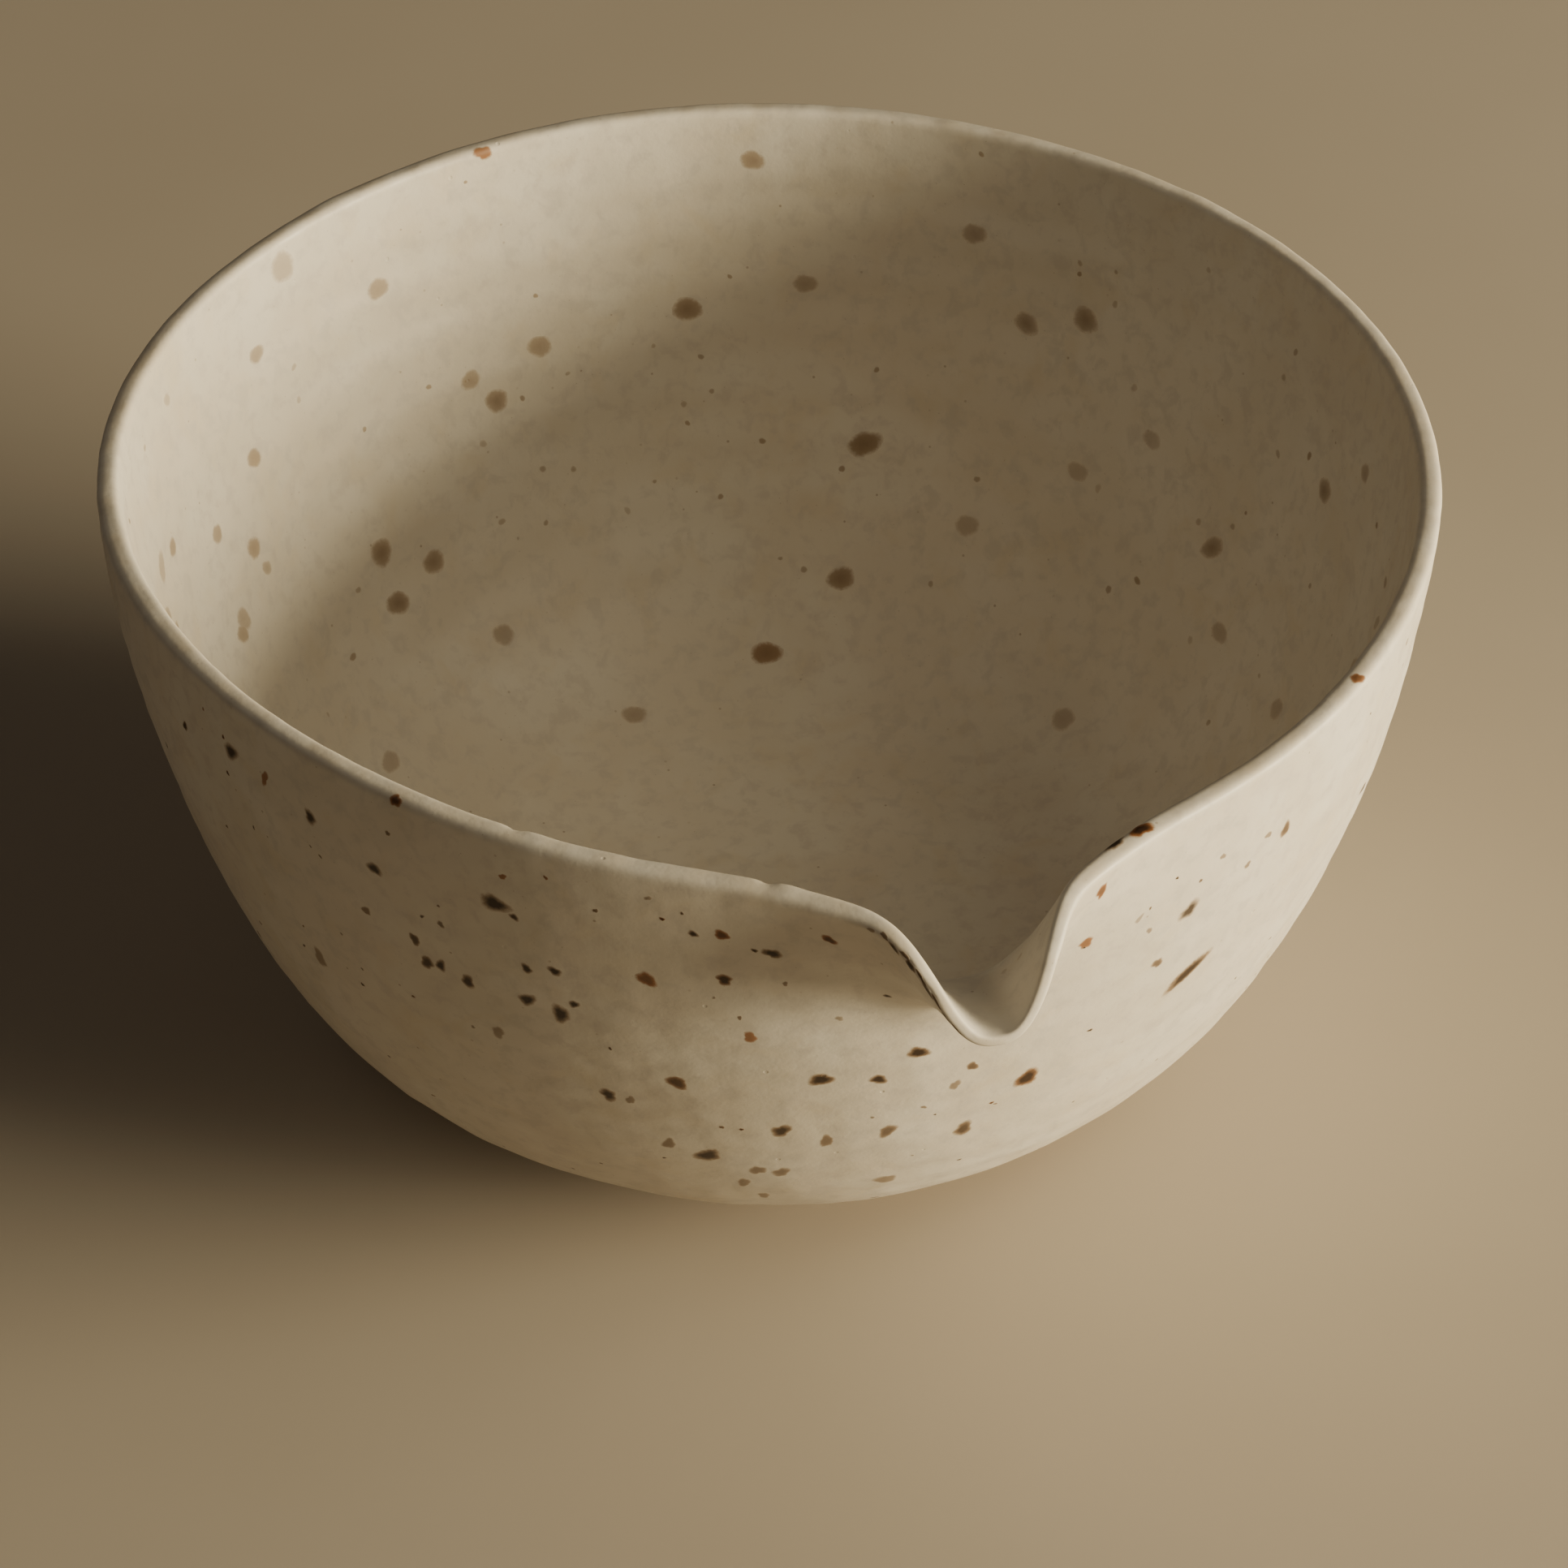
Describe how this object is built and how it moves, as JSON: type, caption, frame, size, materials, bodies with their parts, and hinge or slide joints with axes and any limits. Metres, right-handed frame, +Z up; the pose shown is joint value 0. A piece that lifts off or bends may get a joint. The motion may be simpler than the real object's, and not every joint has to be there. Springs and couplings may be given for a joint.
{
  "type": "yarn bowl",
  "caption": "Hand-thrown speckled stoneware bowl with a turned foot and one finger-pulled spout in the rim that guides yarn.",
  "frame": {"origin": "on the bowl's axis, in the plane of the foot ring that it stands on", "axes": "+Z up through the middle of the mouth; the spout points along -Y; +X to the right of the spout seen from outside"},
  "size_m": [0.15, 0.1628, 0.0779],
  "materials": {
    "bare_stoneware": "matte",
    "liner_glaze": "satin",
    "outer_glaze": "satin"
  },
  "bodies": {
    "root": {"clay_body": "bare_stoneware", "liner_glaze": "liner_glaze", "outer_glaze": "outer_glaze"}
  },
  "joints": []
}
